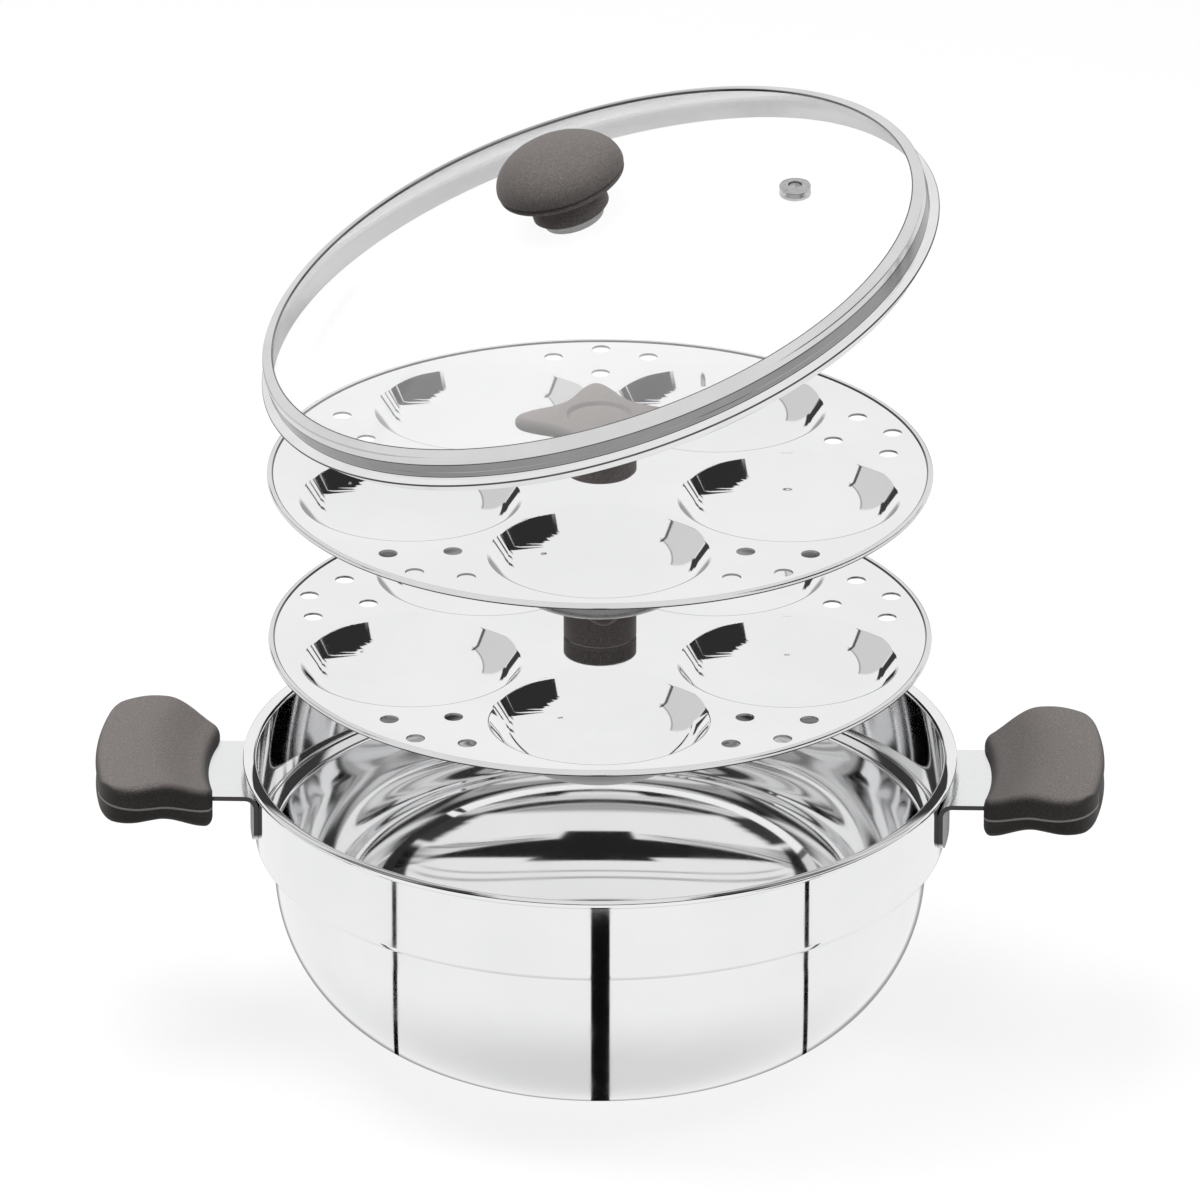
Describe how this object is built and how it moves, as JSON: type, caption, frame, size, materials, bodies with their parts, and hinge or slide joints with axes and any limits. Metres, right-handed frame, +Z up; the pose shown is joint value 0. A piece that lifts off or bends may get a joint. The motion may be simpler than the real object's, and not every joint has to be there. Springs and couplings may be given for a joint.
{
  "type": "idli steamer",
  "caption": "Stainless two-handled steaming pot with stacked cup plates on star-knob stems and a domed glass lid, shown lifted apart.",
  "frame": {"origin": "centre of the pot's base, on the surface it stands on", "axes": "+Z up through the pot's mouth, +X along the line of the two grips towards the right grip, -Y towards the picture's camera"},
  "size_m": [0.339, 0.24, 0.3231],
  "materials": {
    "polished_steel": "mirror-polished stainless steel",
    "strap_steel": "lightly brushed stainless steel",
    "bakelite": "fine matt moulded bakelite, dark grey-brown",
    "glass": "clear toughened glass",
    "brass": "turned brass",
    "fastener_steel": "zinc-plated steel",
    "silicone": "translucent silicone"
  },
  "bodies": {
    "pot": {"pot_shell": "polished_steel", "bracket_left": "strap_steel", "bracket_right": "strap_steel", "grip_left": "bakelite", "grip_right": "bakelite", "grip_inserts": "brass", "grip_screws": "fastener_steel"},
    "lower_tier": {"lower_plate": "polished_steel", "lower_star_knob": "bakelite", "lower_insert": "brass", "lower_foot": "bakelite", "lower_screw": "fastener_steel"},
    "upper_tier": {"upper_plate": "polished_steel", "upper_star_knob": "bakelite", "upper_insert": "brass", "upper_foot": "bakelite", "upper_screw": "fastener_steel"},
    "lid": {"lid_glass": "glass", "lid_band": "polished_steel", "vent_eyelet": "polished_steel", "lid_knob": "bakelite", "knob_insert": "brass", "knob_gasket": "silicone", "knob_washer": "fastener_steel", "knob_screw": "fastener_steel"}
  },
  "joints": [
    {"name": "lower_tier_lift", "type": "slide", "parent": "pot", "child": "lower_tier", "axis": [0, 0, 1], "range_m": [-0.071, 0]},
    {"name": "upper_tier_lift", "type": "slide", "parent": "lower_tier", "child": "upper_tier", "axis": [0, 0, 1], "range_m": [-0.03, 0]},
    {"name": "lid_lift_and_tilt", "type": "hinge", "parent": "upper_tier", "child": "lid", "pos_m": [-0.203, -0.07389, 0.23255], "axis": [0.342, -0.9397, 0], "range_deg": [-17.5, 0]}
  ]
}
